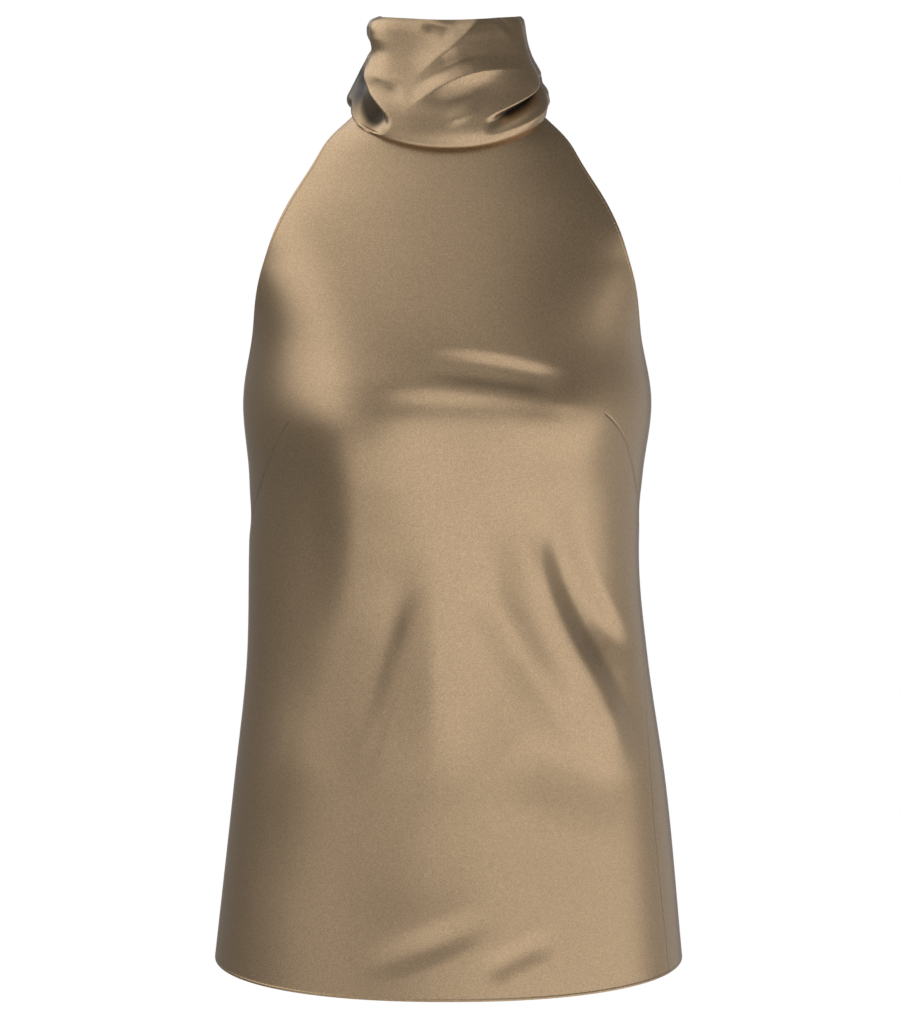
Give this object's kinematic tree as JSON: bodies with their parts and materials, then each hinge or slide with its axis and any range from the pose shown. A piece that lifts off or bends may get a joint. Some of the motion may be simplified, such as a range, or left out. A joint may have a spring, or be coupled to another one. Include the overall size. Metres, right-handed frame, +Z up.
{
  "type": "bow-neck top",
  "caption": "Sleeveless satin halter top with a soft wrapped neck band tied in a bow at the nape, dart-shaped front, low back and slightly flared hem.",
  "frame": {"origin": "middle of the neck opening, level with the neck seam, where the wearer's neck holds the garment", "axes": "+Z up along the body, the front faces -Y, +X to the right as seen from the front"},
  "size_m": [0.3619, 0.238, 0.7175],
  "materials": {
    "satin": "heavy taupe satin with a soft sheen"
  },
  "bodies": {
    "root": {"front_panel": "satin", "back_panel": "satin", "neck_band": "satin", "bow_knot": "satin", "bow_loop_left": "satin", "bow_loop_right": "satin", "bow_tail_left": "satin", "bow_tail_right": "satin"}
  },
  "joints": []
}
